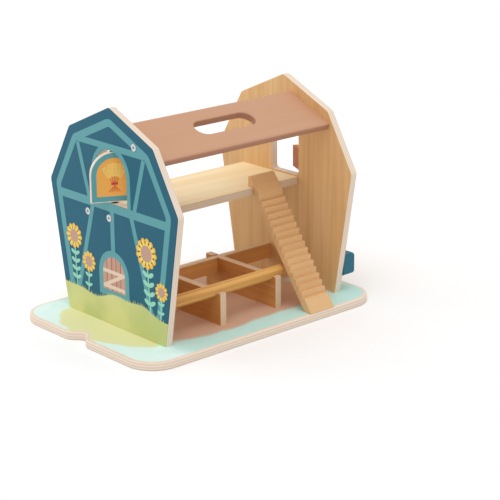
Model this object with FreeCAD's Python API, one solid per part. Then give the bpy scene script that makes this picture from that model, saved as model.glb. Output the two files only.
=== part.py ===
import FreeCAD, Part
import math
import os

# Wooden toy barn. Barn frame: X along the ridge with the painted gable at -X, -Y is the open
# front, Z up, z = 0 on the top of the base board, x = y = 0 midway between the gables.
# Sizes are in millimetres. Everything is moved to the middle of the base's underside at the end.
V = FreeCAD.Vector
X, Y, Z = V(1, 0, 0), V(0, 1, 0), V(0, 0, 1)

# Boards
PLY = 9.0                    # gables, loft, roof plank, ramp and stall boards
EDGE_ROUND = 1.2             # sanded edges of the gables, loft and stalls
FIT = 0.1                    # slack of glued joints and fixed pins, each side
GAP = 0.3                    # slack between pieces that move against each other
SQUARE = 0.999               # cosine from which a face counts as square to an axis
BARN_LENGTH = 260.0          # over the outer faces of both gables

# Gable outline
FOOT_WIDTH = 174.0
EAVE_WIDTH = 224.0
KNEE_WIDTH = 146.0
EAVE_HEIGHT = 147.0
KNEE_HEIGHT = 213.0
PEAK_HEIGHT = 245.0
GABLE_CORNER = 7.5

# Base board, as reaches from the middle of the barn
BASE_THICK = 9.0
BASE_LEFT = 180.0
BASE_RIGHT = 160.0
BASE_FRONT = 121.0
BASE_BACK = 117.0
BASE_CORNER = 35.0
BASE_EDGE_ROUND = 2.0
NOTCH_CENTRE = 5.0           # middle of the bay in the base's left edge, from the barn's middle
NOTCH_WIDTH = 34.0
NOTCH_DEPTH = 14.0
NOTCH_ROUND = 8.0

# Arched window of the painted gable and its revolving panel
WINDOW_WIDTH = 55.0
WINDOW_SILL = 140.0
WINDOW_TOP = 198.5
PANEL_THICK = 6.0
PANEL_GAP = 1.5
PANEL_EDGE_ROUND = 1.0
PANEL_TURN = 62.0            # how far the panel stands open at rest, in degrees
PIVOT_DIA = 3.0
PIVOT_DEPTH = 9.0            # how far a pivot pin goes into the gable and into the panel
PIVOT_SLACK = 0.05
WASHER_DIA = 7.0
WASHER_THICK = 0.9

# Roof plank on the front upper slope, with a slot to carry the barn by
PLANK_WIDTH = 71.0
PLANK_CENTRE = 42.0          # in front of the ridge
PLANK_DROP = 16.0            # below the gable's slope, square to it, at mid thickness
PLANK_EDGE_ROUND = 3.0
SLOT_LENGTH = 82.0
SLOT_WIDTH = 24.0
SLOT_CENTRE = -3.0           # along the ridge, from the plank's middle
SLOT_RISE = 3.5              # up the slope, from the plank's middle
SLOT_EDGE_ROUND = 2.0

# Loft floor
LOFT_TOP = 127.0
LOFT_FRONT = -24.0
LOFT_BACK = 72.0
LOFT_BOLT_IN = 29.0          # bolts this far in from the loft's edges

# Plain gable's window and its half door
HATCH_WIDTH = 46.0
HATCH_CENTRE = -3.0
HATCH_ABOVE = 2.0            # sill above the loft
HATCH_HEIGHT = 53.0
HATCH_CORNER = 5.0
DOOR_THICK = 6.0
DOOR_HEIGHT = 26.0
DOOR_LAP = 3.0               # the door covers the gable this far beside and below the window
DOOR_AJAR = 24.5             # degrees open at rest
DOOR_BACK_GAP = 1.5          # between the closed door and the gable
HINGE_HEIGHT = 9.0
HINGE_LEAF = 9.0
HINGE_SHEET = 0.8
KNUCKLE_RADIUS = 1.6
HINGE_PIN_DIA = 1.6
HINGE_INSET = 2.5            # from the door's top and bottom edge to a hinge
HINGE_SCREW_DIA = 1.6
HINGE_SCREW_LENGTH = 4.5
HINGE_SCREW_FROM = 5.6       # from the hinge's axis
HINGE_SCREW_IN = 2.3         # from the leaf's top and bottom

# Stalls
STALL_HEIGHT = 37.0
STALL_FRONT = -78.0
STALL_BACK = 43.0
DIVIDER_SPACING = 82.0       # between the middles of the two dividers
RAIL_FRONT = 22.0            # front face of the back rail
RAIL_TOP = 36.0
RAIL_HEIGHT = 18.5
BAR_DIA = 14.0               # round manger bar across the stalls
BAR_BACK = -66.0
BAR_RISE = 1.0               # its axis above the dividers
BAR_PAST = 9.0               # beyond the right divider
BAR_SOCKET = 4.0             # its left end sits this deep in the gable

# Ramp hooked on the loft's front edge
RAMP_WIDTH = 36.0
RAMP_CLEAR = 33.5            # between the ramp and the plain gable
RAMP_RUN = 84.6              # from the loft's edge to the back of the foot
RAMP_SEAT = 6.0              # how far the loft's edge is let into the ramp's underside
RAMP_HOOK = 8.0              # how far the hook reaches over the loft
RAMP_HOOK_THICK = 12.0
RAMP_STEPS = 16
RAMP_HEAD = 24.0             # plain stretch above the first step
RAMP_FOOT = 18.0             # plain stretch below the last step

# Block on the outside of the plain gable
BLOCK_REACH = 19.0
BLOCK_WIDTH = 18.0
BLOCK_HEIGHT = 25.0
BLOCK_BOTTOM = 20.0
BLOCK_FRONT = -93.0
BLOCK_ROUND = 4.0

# Fasteners
BOLT_DIA = 4.0
BOLT_LENGTH = 32.0
BOLT_HEAD_DIA = 8.0
BOLT_HEAD_THICK = 2.0
BOLT_HEAD_PROUD = 0.5
SOCKET_SIZE = 3.0            # across the flats
SOCKET_DEPTH = 1.4
NUT_DIA = 7.0
NUT_LENGTH = 7.0
NUT_SKIN = 0.8               # wood left above a nut
NUT_IN = 15.0                # from the board's end to the nut
DOWEL_DIA = 5.0
DOWEL_DEPTH = 8.0            # into the end of a board
DOWEL_SEAT = 5.5             # into the face of a board
DOWEL_END = 0.3              # glue room past each end
PLANK_DOWEL_OFF = 21.0       # dowels to both sides of the plank's bolt
STALL_DOWEL_IN = 14.0        # from the divider's ends
BLOCK_DOWEL_OFF = 6.0
SCREW_DIA = 4.0
SCREW_HEAD_DIA = 8.0
SCREW_HEAD_DEPTH = 2.5
SCREW_LENGTH = 34.0
SCREW_OFF = 55.0             # to both sides of the gable's middle
SCREW_SUNK = 0.3

# Derived places
half = BARN_LENGTH / 2
inner = half - PLY                              # inner face of each gable
arch = WINDOW_WIDTH / 2
arch_z = WINDOW_TOP - arch                      # where the window's arch springs
panel_half = arch - PANEL_GAP
panel_bottom = WINDOW_SILL + PANEL_GAP
panel_x = -half + PLY / 2                       # the panel turns in the middle of the gable
slope = math.atan2(PEAK_HEIGHT - KNEE_HEIGHT, KNEE_WIDTH / 2)
plank_z = PEAK_HEIGHT - PLANK_CENTRE * math.tan(slope) - PLANK_DROP / math.cos(slope)
loft_z = LOFT_TOP - PLY / 2
loft_bolts = [LOFT_FRONT + LOFT_BOLT_IN, LOFT_BACK - LOFT_BOLT_IN]
bolt_places = [(-PLANK_CENTRE, plank_z)] + [(y, loft_z) for y in loft_bolts]
dividers = [-DIVIDER_SPACING / 2, DIVIDER_SPACING / 2]
rail_y = RAIL_FRONT + PLY / 2
rail_z = RAIL_TOP - RAIL_HEIGHT / 2
bar_z = STALL_HEIGHT + BAR_RISE
bar_end = dividers[1] + PLY / 2 + BAR_PAST
block_y = BLOCK_FRONT + BLOCK_WIDTH / 2
block_z = BLOCK_BOTTOM + BLOCK_HEIGHT / 2
ramp_left = inner - RAMP_CLEAR - RAMP_WIDTH
hinge_x = half + DOOR_BACK_GAP + HINGE_SHEET / 2
hinge_y = HATCH_CENTRE - HATCH_WIDTH / 2 - DOOR_LAP - KNUCKLE_RADIUS - GAP
hatch_sill = LOFT_TOP + HATCH_ABOVE
door_bottom = hatch_sill - DOOR_LAP
door_near = hinge_y + KNUCKLE_RADIUS + GAP
door_far = HATCH_CENTRE + HATCH_WIDTH / 2 + DOOR_LAP
hinge_bottoms = [door_bottom + HINGE_INSET, door_bottom + DOOR_HEIGHT - HINGE_INSET - HINGE_HEIGHT]
shift = V((BASE_LEFT - BASE_RIGHT) / 2, (BASE_FRONT - BASE_BACK) / 2, BASE_THICK)


def box(x0, x1, y0, y1, z0, z1):
    return Part.makeBox(x1 - x0, y1 - y0, z1 - z0, V(x0, y0, z0))


def rod(dia, start, direction, length):
    return Part.makeCylinder(dia / 2, length, start, direction)


# Closed wire through corners (point, radius), each corner rounded by an arc.
def outline(corners):
    edges = []
    marks = []
    count = len(corners)
    for i, (point, radius) in enumerate(corners):
        back = (corners[i - 1][0] - point).normalize()
        ahead = (corners[(i + 1) % count][0] - point).normalize()
        if radius == 0:
            marks.append((point, point, point))
            continue
        half_angle = back.getAngle(ahead) / 2
        reach = radius / math.tan(half_angle)
        middle = (back + ahead).normalize()
        top = point + middle * (radius / math.sin(half_angle) - radius)
        marks.append((point + back * reach, top, point + ahead * reach))
    for i, (start, top, end) in enumerate(marks):
        if start != end:
            edges.append(Part.Arc(start, top, end).toShape())
        follow = marks[(i + 1) % count][0]
        if end.distanceToPoint(follow) > 1e-6:
            edges.append(Part.makeLine(end, follow))
    return Part.Wire(edges)


# Board made by moving a rounded outline along direction.
def slab(corners, direction):
    return Part.Face(outline(corners)).extrude(direction)


# Rounds the edges around both flat faces square to axis.
def round_rim(shape, axis, radius):
    rims = []
    for face in shape.Faces:
        if isinstance(face.Surface, Part.Plane) and abs(face.normalAt(0, 0).dot(axis)) > SQUARE:
            rims += face.OuterWire.Edges
    return shape.makeFillet(radius, rims)


def gable_blank(x0):
    foot, eave, knee = FOOT_WIDTH / 2, EAVE_WIDTH / 2, KNEE_WIDTH / 2
    right = [(foot, 0), (eave, EAVE_HEIGHT), (knee, KNEE_HEIGHT)]
    left = [(-y, z) for y, z in reversed(right)]
    ring = right + [(0, PEAK_HEIGHT)] + left
    corners = [(V(x0, y, z), 0 if z == 0 else GABLE_CORNER) for y, z in ring]
    blank = slab(corners, X * PLY)
    rims = [e for e in blank.Edges if abs(e.BoundBox.XLength) < 1e-6 and e.BoundBox.ZMax > EDGE_ROUND]
    return blank.makeFillet(EDGE_ROUND, rims)


# Solid with a flat bottom and a half round top, lying along X.
def arched(width, bottom, top, x0, depth):
    spring = top - width / 2
    lower = [V(x0, -width / 2, spring), V(x0, -width / 2, bottom)]
    lower += [V(x0, width / 2, bottom), V(x0, width / 2, spring)]
    edges = [Part.makeLine(a, b) for a, b in zip(lower, lower[1:])]
    edges.append(Part.Arc(lower[-1], V(x0, 0, top), lower[0]).toShape())
    return Part.Face(Part.Wire(edges)).extrude(X * depth)


# Rod along X that starts inside a gable's outer face by start; side -1 is the painted gable.
def along_x(side, start, length, dia, y, z):
    return rod(dia, V(side * (half - start), y, z), X * -side, length)


def bolt(side, y, z):
    head = along_x(side, -BOLT_HEAD_PROUD, BOLT_HEAD_THICK, BOLT_HEAD_DIA, y, z)
    shank = along_x(side, BOLT_HEAD_THICK - BOLT_HEAD_PROUD, BOLT_LENGTH, BOLT_DIA, y, z)
    face_x = side * (half + BOLT_HEAD_PROUD)
    radius = SOCKET_SIZE / math.sqrt(3)
    turns = [math.radians(60 * i) for i in range(7)]
    ring = [V(face_x, y + radius * math.cos(a), z + radius * math.sin(a)) for a in turns]
    socket = Part.Face(Part.makePolygon(ring)).extrude(X * (-side * SOCKET_DEPTH))
    return head.fuse(shank).removeSplitter().cut(socket)


def bolt_room(side, y, z):
    sunk = BOLT_HEAD_THICK - BOLT_HEAD_PROUD
    head = along_x(side, 0, sunk, BOLT_HEAD_DIA + 2 * FIT, y, z)
    return head.fuse(along_x(side, sunk, BOLT_LENGTH + FIT, BOLT_DIA + 2 * FIT, y, z))


# Cross drilled barrel nut in the middle of a board whose upper normal is up.
def nut(side, y, z, up):
    middle = V(side * (inner - NUT_IN), y, z)
    body = rod(NUT_DIA, middle - up * (NUT_LENGTH / 2), up, NUT_LENGTH)
    return body.cut(along_x(side, 0, BOLT_LENGTH + PLY, BOLT_DIA + 2 * FIT, y, z))


def nut_room(side, y, z, up):
    middle = V(side * (inner - NUT_IN), y, z)
    return rod(NUT_DIA + 2 * FIT, middle - up * PLY, up, PLY * 1.5 - NUT_SKIN)


# Dowel through the joint at face, deeper along direction than against it.
def dowel(face, direction, grow, past):
    start = face - direction * (DOWEL_SEAT + past)
    return rod(DOWEL_DIA + 2 * grow, start, direction, DOWEL_SEAT + DOWEL_DEPTH + 2 * past)


def turned(shape, place, axis, degrees):
    copy = shape.copy()
    copy.rotate(place, axis, degrees)
    return copy


# Joints that several pieces share: (face point, direction into the board's end or upper piece)
plank_normal = V(0, -math.sin(slope), math.cos(slope))
plank_along = V(0, math.cos(slope), math.sin(slope))
plank_mid = V(0, -PLANK_CENTRE, plank_z)
end_dowels = []
for side in (-1, 1):
    for off in (-PLANK_DOWEL_OFF, PLANK_DOWEL_OFF):
        place = plank_mid + plank_along * off + X * (side * inner)
        end_dowels.append(("roof_dowels", place, X * -side))
    end_dowels.append(("back_rail_dowels", V(side * inner, rail_y, rail_z), X * -side))
for x in dividers:
    for y in (STALL_FRONT + STALL_DOWEL_IN, STALL_BACK - STALL_DOWEL_IN):
        end_dowels.append(("divider_dowels", V(x, y, 0), Z))
for off in (-BLOCK_DOWEL_OFF, BLOCK_DOWEL_OFF):
    end_dowels.append(("side_block_dowels", V(half, block_y, block_z + off), X))
dowel_rooms = Part.Compound([dowel(p, d, FIT, DOWEL_END) for _, p, d in end_dowels])
bolt_rooms = {s: Part.Compound([bolt_room(s, y, z) for y, z in bolt_places]) for s in (-1, 1)}
nut_ups = [plank_normal] + [Z] * len(loft_bolts)
nut_places = [(s, y, z, up) for s in (-1, 1) for (y, z), up in zip(bolt_places, nut_ups)]
nut_rooms = Part.Compound([nut_room(*place) for place in nut_places])


# Countersunk screw up through the base; grow widens it into its hole.
def gable_screw(x, y, grow):
    low = -BASE_THICK + SCREW_SUNK
    wide, narrow = SCREW_HEAD_DIA / 2 + grow, SCREW_DIA / 2 + grow
    head = Part.makeCone(wide, narrow, SCREW_HEAD_DEPTH, V(x, y, low), Z)
    shank = rod(SCREW_DIA + 2 * grow, V(x, y, low + SCREW_HEAD_DEPTH), Z, SCREW_LENGTH + grow)
    return head.fuse(shank).removeSplitter()


screw_places = [(s * (half - PLY / 2), y) for s in (-1, 1) for y in (-SCREW_OFF, SCREW_OFF)]
screw_rooms = [gable_screw(x, y, FIT) for x, y in screw_places]
screw_mouths = [rod(SCREW_HEAD_DIA + 2 * FIT, V(x, y, -BASE_THICK), Z, SCREW_SUNK) for x, y in screw_places]


def base_board():
    notch_low = NOTCH_CENTRE - NOTCH_WIDTH / 2
    notch_high = NOTCH_CENTRE + NOTCH_WIDTH / 2
    floor = -BASE_THICK
    corners = [
        (V(-BASE_LEFT, -BASE_FRONT, floor), BASE_CORNER),
        (V(BASE_RIGHT, -BASE_FRONT, floor), BASE_CORNER),
        (V(BASE_RIGHT, BASE_BACK, floor), BASE_CORNER),
        (V(-BASE_LEFT, BASE_BACK, floor), BASE_CORNER),
        (V(-BASE_LEFT, notch_high, floor), NOTCH_ROUND),
        (V(-BASE_LEFT + NOTCH_DEPTH, NOTCH_CENTRE, floor), NOTCH_ROUND),
        (V(-BASE_LEFT, notch_low, floor), NOTCH_ROUND),
    ]
    board = round_rim(slab(corners, Z * BASE_THICK), Z, BASE_EDGE_ROUND)
    return board.cut(screw_rooms + screw_mouths + [dowel_rooms])


def pivot_pin(z, direction, grow):
    start = V(panel_x, 0, z) - direction * (PIVOT_DEPTH + grow)
    length = 2 * PIVOT_DEPTH + PANEL_GAP + 2 * grow
    return rod(PIVOT_DIA + 2 * grow, start, direction, length)


pivots = [(WINDOW_SILL, Z), (WINDOW_TOP, -Z)]


def painted_gable():
    board = gable_blank(-half)
    window = arched(WINDOW_WIDTH, WINDOW_SILL, WINDOW_TOP, -half - PLY, 3 * PLY)
    pins = [pivot_pin(z, d, FIT) for z, d in pivots]
    socket = rod(BAR_DIA + 2 * FIT, V(-inner - BAR_SOCKET, BAR_BACK, bar_z), X, 2 * BAR_SOCKET)
    return board.cut([window, bolt_rooms[-1], dowel_rooms, socket] + pins + screw_rooms)


def window_panel():
    width = 2 * panel_half
    top = WINDOW_TOP - PANEL_GAP
    panel = arched(width, panel_bottom, top, panel_x - PANEL_THICK / 2, PANEL_THICK)
    panel = round_rim(panel, X, PANEL_EDGE_ROUND)
    panel = panel.cut([pivot_pin(z, d, PIVOT_SLACK) for z, d in pivots])
    return turned(panel, V(panel_x, 0, 0), Z, PANEL_TURN)


def window_washers():
    washers = []
    for z, direction in pivots:
        slack = PANEL_GAP - WASHER_THICK
        start = V(panel_x, 0, z) + direction * (slack / 2)
        ring = rod(WASHER_DIA, start, direction, WASHER_THICK)
        washers.append(ring.cut(rod(PIVOT_DIA + 2 * FIT, start, direction, WASHER_THICK)))
    return washers


def plain_gable():
    board = gable_blank(inner)
    y0, y1 = HATCH_CENTRE - HATCH_WIDTH / 2, HATCH_CENTRE + HATCH_WIDTH / 2
    top = hatch_sill + HATCH_HEIGHT
    ring = [(y0, hatch_sill), (y1, hatch_sill), (y1, top), (y0, top)]
    hatch = slab([(V(inner - PLY, y, z), HATCH_CORNER) for y, z in ring], X * (3 * PLY))
    return board.cut([hatch, bolt_rooms[1], dowel_rooms] + screw_rooms + gable_hinge_screws(FIT))


def roof_plank():
    wide = PLANK_WIDTH / 2
    board = box(-inner, inner, -wide, wide, -PLY / 2, PLY / 2)
    long_edges = [e for e in board.Edges if e.BoundBox.XLength > BARN_LENGTH / 2]
    board = board.makeFillet(PLANK_EDGE_ROUND, long_edges)
    reach = (SLOT_LENGTH - SLOT_WIDTH) / 2
    low, high = SLOT_RISE - SLOT_WIDTH / 2, SLOT_RISE + SLOT_WIDTH / 2
    slot = box(SLOT_CENTRE - reach, SLOT_CENTRE + reach, low, high, -PLY, PLY)
    ends = [rod(SLOT_WIDTH, V(SLOT_CENTRE + s * reach, SLOT_RISE, -PLY), Z, 2 * PLY) for s in (-1, 1)]
    board = board.cut(slot.fuse(ends).removeSplitter())
    rims = []
    for face in board.Faces:
        if isinstance(face.Surface, Part.Plane) and abs(face.normalAt(0, 0).z) > SQUARE:
            rims += [e for w in face.Wires if not w.isSame(face.OuterWire) for e in w.Edges]
    board = board.makeFillet(SLOT_EDGE_ROUND, rims)
    board.rotate(V(0, 0, 0), X, math.degrees(slope))
    board.translate(plank_mid)
    return board.cut([bolt_rooms[-1], bolt_rooms[1], nut_rooms, dowel_rooms])


def loft_floor():
    board = box(-inner, inner, LOFT_FRONT, LOFT_BACK, LOFT_TOP - PLY, LOFT_TOP)
    long_edges = [e for e in board.Edges if e.BoundBox.XLength > BARN_LENGTH / 2]
    board = board.makeFillet(EDGE_ROUND, long_edges)
    return board.cut([bolt_rooms[-1], bolt_rooms[1], nut_rooms])


def manger_bar(grow):
    start = V(-inner - BAR_SOCKET, BAR_BACK, bar_z)
    return rod(BAR_DIA + 2 * grow, start, X, bar_end + inner + BAR_SOCKET)


def stall_back_rail():
    board = box(-inner, inner, RAIL_FRONT, RAIL_FRONT + PLY, RAIL_TOP - RAIL_HEIGHT, RAIL_TOP)
    long_edges = [e for e in board.Edges if e.BoundBox.XLength > BARN_LENGTH / 2]
    board = board.makeFillet(EDGE_ROUND, long_edges)
    wide = PLY / 2 + FIT
    bottom = RAIL_TOP - RAIL_HEIGHT
    laps = [box(x - wide, x + wide, RAIL_FRONT, RAIL_FRONT + PLY, bottom, rail_z) for x in dividers]
    return board.cut(laps + [dowel_rooms])


def stall_divider(x):
    board = box(x - PLY / 2, x + PLY / 2, STALL_FRONT, STALL_BACK, 0, STALL_HEIGHT)
    upper = [e for e in board.Edges if e.BoundBox.ZMax > STALL_HEIGHT / 2]
    board = board.makeFillet(EDGE_ROUND, [e for e in upper if e.BoundBox.XLength < PLY / 2])
    lap = box(x - PLY, x + PLY, RAIL_FRONT - FIT, RAIL_FRONT + PLY + FIT, rail_z, STALL_HEIGHT)
    return board.cut([lap, manger_bar(FIT), dowel_rooms])


def ramp():
    lip_y, lip_z = LOFT_FRONT - GAP, LOFT_TOP + GAP
    angle = math.atan2(LOFT_TOP, RAMP_RUN + RAMP_SEAT)
    down = V(0, -math.cos(angle), -math.sin(angle))
    out = V(0, -math.sin(angle), math.cos(angle))
    heel = V(0, lip_y - RAMP_RUN, GAP)
    toe = heel - Y * (PLY / math.sin(angle))
    hook_top = lip_z + RAMP_HOOK_THICK
    crest = toe - down * ((hook_top - GAP) / math.sin(angle))
    treads = (toe - crest).Length - RAMP_HEAD - RAMP_FOOT
    pitch = treads / RAMP_STEPS
    notch = V(0, lip_y, GAP + RAMP_RUN * math.tan(angle))
    ring = [heel, notch, V(0, lip_y, lip_z), V(0, lip_y + RAMP_HOOK, lip_z)]
    ring += [V(0, lip_y + RAMP_HOOK, hook_top), crest]
    tip = crest + down * RAMP_HEAD
    for _ in range(RAMP_STEPS):
        ring.append(tip)
        ring.append(tip - Z * (pitch * math.sin(angle)))
        tip = tip + down * pitch
    ring += [tip, toe]
    rounded = {4: EDGE_ROUND, 5: EDGE_ROUND}
    corners = [(p + X * ramp_left, rounded.get(i, 0)) for i, p in enumerate(ring)]
    return slab(corners, X * RAMP_WIDTH)


def side_block():
    block = Part.makeBox(BLOCK_REACH, BLOCK_WIDTH, BLOCK_HEIGHT, V(half, BLOCK_FRONT, BLOCK_BOTTOM))
    free = [e for e in block.Edges if e.BoundBox.XMax > half + BLOCK_REACH / 2]
    return block.makeFillet(BLOCK_ROUND, free).cut(dowel_rooms)


# Turns a piece of the closed half door to where it stands at rest.
def opened(shape):
    return turned(shape, V(hinge_x, hinge_y, 0), Z, -DOOR_AJAR)


# The two outer rings of a hinge, or its middle ring; grow makes room around them.
def knuckles(z0, middle, grow):
    third = HINGE_HEIGHT / 3
    ends = third - GAP / 2
    spans = [(third + GAP / 2, 2 * third - GAP / 2)]
    if not middle:
        spans = [(0, ends), (HINGE_HEIGHT - ends, HINGE_HEIGHT)]
    dia = 2 * (KNUCKLE_RADIUS + grow)
    return [rod(dia, V(hinge_x, hinge_y, z0 + a - grow), Z, b - a + 2 * grow) for a, b in spans]


def hinge_leaf(z0, on_door):
    bore = HINGE_PIN_DIA + 2 * PIVOT_SLACK
    hole = rod(bore, V(hinge_x, hinge_y, z0), Z, HINGE_HEIGHT)
    rings = knuckles(z0, on_door, 0)
    if on_door:
        low = hinge_x - HINGE_SHEET / 2
        span = (hinge_y, hinge_y + HINGE_LEAF)
    else:
        low = half
        span = (hinge_y - HINGE_LEAF, hinge_y)
    sheet = box(low, low + HINGE_SHEET, span[0], span[1], z0, z0 + HINGE_HEIGHT)
    leaf = sheet.cut(knuckles(z0, not on_door, GAP)).fuse(rings).removeSplitter()
    return leaf.cut([hole] + hinge_screws(z0, on_door, FIT))


# Two countersunk screws of one leaf, along X into the wood behind it.
def hinge_screws(z0, on_door, grow):
    if on_door:
        start, into, y = hinge_x - HINGE_SHEET / 2, X, hinge_y + HINGE_SCREW_FROM
    else:
        start, into, y = half + HINGE_SHEET, -X, hinge_y - HINGE_SCREW_FROM
    screws = []
    for z in (z0 + HINGE_SCREW_IN, z0 + HINGE_HEIGHT - HINGE_SCREW_IN):
        place = V(start, y, z)
        head = Part.makeCone(HINGE_SCREW_DIA + grow, HINGE_SCREW_DIA / 2 + grow, HINGE_SHEET, place, into)
        shank = rod(HINGE_SCREW_DIA + 2 * grow, place + into * HINGE_SHEET, into, HINGE_SCREW_LENGTH + grow)
        screws.append(head.fuse(shank).removeSplitter())
    return screws


def gable_hinge_screws(grow):
    return [s for z0 in hinge_bottoms for s in hinge_screws(z0, False, grow)]


def door_hinge_screws(grow):
    return [s for z0 in hinge_bottoms for s in hinge_screws(z0, True, grow)]


def half_door():
    low = half + DOOR_BACK_GAP
    ring = [(door_near, door_bottom), (door_far, door_bottom)]
    ring += [(door_far, door_bottom + DOOR_HEIGHT), (door_near, door_bottom + DOOR_HEIGHT)]
    door = slab([(V(low, y, z), EDGE_ROUND) for y, z in ring], X * DOOR_THICK)
    outer_rim = [e for e in door.Edges if e.BoundBox.XMin > low + DOOR_THICK - 1e-3]
    door = door.makeFillet(EDGE_ROUND, outer_rim)
    bed_end = hinge_y + HINGE_LEAF + FIT
    for z in hinge_bottoms:
        bed = box(low, low + HINGE_SHEET + FIT, door_near, bed_end, z - FIT, z + HINGE_HEIGHT + FIT)
        door = door.cut(bed)
    return opened(door.cut(door_hinge_screws(FIT)))


def hinge_pin(z0):
    return rod(HINGE_PIN_DIA, V(hinge_x, hinge_y, z0), Z, HINGE_HEIGHT)


def dowels_of(name):
    return [dowel(p, d, 0, 0) for n, p, d in end_dowels if n == name]


nodes = {
    "base_board": [base_board()],
    "painted_gable": [painted_gable()],
    "plain_gable": [plain_gable()],
    "roof_plank": [roof_plank()],
    "loft_floor": [loft_floor()],
    "stall_back_rail": [stall_back_rail()],
    "stall_divider_left": [stall_divider(dividers[0])],
    "stall_divider_right": [stall_divider(dividers[1])],
    "manger_bar": [manger_bar(0)],
    "ramp": [ramp()],
    "window_panel": [window_panel()],
    "window_pivot_pins": [pivot_pin(z, d, 0) for z, d in pivots],
    "window_pivot_washers": window_washers(),
    "half_door": [half_door()],
    "hinge_gable_leaves": [hinge_leaf(z, False) for z in hinge_bottoms],
    "hinge_door_leaves": [opened(hinge_leaf(z, True)) for z in hinge_bottoms],
    "hinge_pins": [hinge_pin(z) for z in hinge_bottoms],
    "hinge_gable_screws": gable_hinge_screws(0),
    "hinge_door_screws": [opened(s) for s in door_hinge_screws(0)],
    "side_block": [side_block()],
    "painted_gable_bolts": [bolt(-1, y, z) for y, z in bolt_places],
    "plain_gable_bolts": [bolt(1, y, z) for y, z in bolt_places],
    "barrel_nuts": [nut(*place) for place in nut_places],
    "gable_screws": [gable_screw(x, y, 0) for x, y in screw_places],
}
for name in ("roof_dowels", "back_rail_dowels", "divider_dowels", "side_block_dowels"):
    nodes[name] = dowels_of(name)

os.makedirs("parts", exist_ok=True)
for name, solids in nodes.items():
    shape = solids[0] if len(solids) == 1 else Part.Compound(solids)
    shape.translate(shift)
    shape.exportStep("parts/" + name + ".step")
    print(name, len(shape.Solids), shape.isValid(), round(shape.Volume))
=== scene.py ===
import bpy
import bmesh
import math
from mathutils import Matrix, Vector


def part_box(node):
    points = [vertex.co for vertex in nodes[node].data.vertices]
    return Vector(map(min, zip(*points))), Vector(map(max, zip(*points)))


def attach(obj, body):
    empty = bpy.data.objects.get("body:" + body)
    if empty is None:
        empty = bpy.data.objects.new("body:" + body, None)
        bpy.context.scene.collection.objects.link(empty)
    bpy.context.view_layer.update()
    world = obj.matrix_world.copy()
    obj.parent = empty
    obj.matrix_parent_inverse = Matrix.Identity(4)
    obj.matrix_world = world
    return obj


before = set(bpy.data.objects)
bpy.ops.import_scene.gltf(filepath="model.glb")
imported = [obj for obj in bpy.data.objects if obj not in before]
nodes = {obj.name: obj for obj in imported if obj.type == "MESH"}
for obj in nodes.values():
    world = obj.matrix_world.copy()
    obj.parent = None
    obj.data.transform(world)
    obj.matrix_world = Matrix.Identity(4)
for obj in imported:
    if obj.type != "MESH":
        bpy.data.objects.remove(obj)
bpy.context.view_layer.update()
scene = bpy.context.scene
mm = 0.001
print("frame loaded:", len(nodes), "nodes")


# a colour as a picture shows it, 0 to 255, turned into linear light
def paint(red, green, blue):
    parts = [value / 255 for value in (red, green, blue)]
    parts = [p / 12.92 if p <= 0.04045 else ((p + 0.055) / 1.055) ** 2.4 for p in parts]
    return (*parts, 1.0)


colours = {
    "darkTeal": paint(15, 92, 115),
    "lightTeal": paint(90, 158, 164),
    "blockTeal": paint(38, 105, 127),
    "mint": paint(194, 232, 224),
    # paler mint for the base's left end: partly the print's own paler zone, partly painted light from the
    # left
    "mintPaleAndLit": paint(224, 246, 241),
    "leafMint": paint(150, 214, 190),
    "meadow": paint(193, 201, 128),
    "meadowPale": paint(214, 214, 143),
    "meadowBase": paint(228, 226, 172),
    "stallFloor": paint(210, 171, 145),
    "petal": paint(240, 190, 72),
    "petalPale": paint(246, 214, 110),
    "blossomHeart": paint(196, 156, 138),
    "plyEdge": paint(242, 226, 209),
    "plyLine": paint(230, 208, 186),
    "pine": paint(230, 191, 137),
    "pineDark": paint(213, 165, 109),
    "loftPine": paint(255, 238, 198),
    "loftPineDark": paint(246, 220, 168),
    "loftEdge": paint(222, 199, 172),
    "loftEdgeLine": paint(208, 182, 154),
    "stallPly": paint(208, 149, 86),
    "stallPlyDark": paint(186, 122, 60),
    "railPly": paint(230, 167, 100),
    "stallEdge": paint(230, 202, 172),
    "stallEdgeLine": paint(214, 182, 150),
    "honey": paint(236, 184, 108),
    "honeyDark": paint(184, 122, 52),
    "tan": paint(228, 186, 135),
    "tanDark": paint(216, 171, 118),
    "terracotta": paint(205, 157, 126),
    "terracottaDark": paint(201, 153, 121),
    # painted shade for the roof plank's edges and slot walls
    "terracottaShadedEdge": paint(176, 126, 101),
    "doorBrown": paint(204, 121, 36),
    "doorBrownDark": paint(184, 103, 28),
    "plankBrown": paint(190, 134, 114),
    "plankGap": paint(112, 76, 76),
    "plankBrace": paint(228, 204, 184),
    "panelGround": paint(238, 172, 82),
    "sheafStalk": paint(214, 120, 60),
    "sheafGrain": paint(250, 208, 110),
    "sheafTie": paint(192, 62, 70),
    "beech": paint(216, 178, 132),
    "steel": paint(198, 198, 200),
    "darkSteel": paint(84, 80, 78),
    "nylon": paint(46, 44, 44),
}
roughness = {"zinc": 0.35, "oiled": 0.4, "satin": 0.5, "soft": 0.55, "chalky": 0.6, "floor": 0.9}
glint = 0.3  # specular level of wood and paint


# node helpers: a socket is linked, anything else is set on the socket itself
def addNode(tree, kind, inputs=None, settings=None):
    node = tree.nodes.new(kind)
    for key, value in (settings or {}).items():
        setattr(node, key, value)
    for key, value in (inputs or {}).items():
        if isinstance(value, bpy.types.NodeSocket):
            tree.links.new(value, node.inputs[key])
        else:
            node.inputs[key].default_value = value
    return node


def calc(tree, operation, first, second=0.0):
    return addNode(tree, "ShaderNodeMath", {0: first, 1: second}, {"operation": operation}).outputs[0]


def fade(tree, value, low, high):  # 0 at low, 1 at high, smooth between
    ends = {"Value": value, "From Min": low, "From Max": high}
    return addNode(tree, "ShaderNodeMapRange", ends, {"interpolation_type": "SMOOTHSTEP"}).outputs[0]


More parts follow.
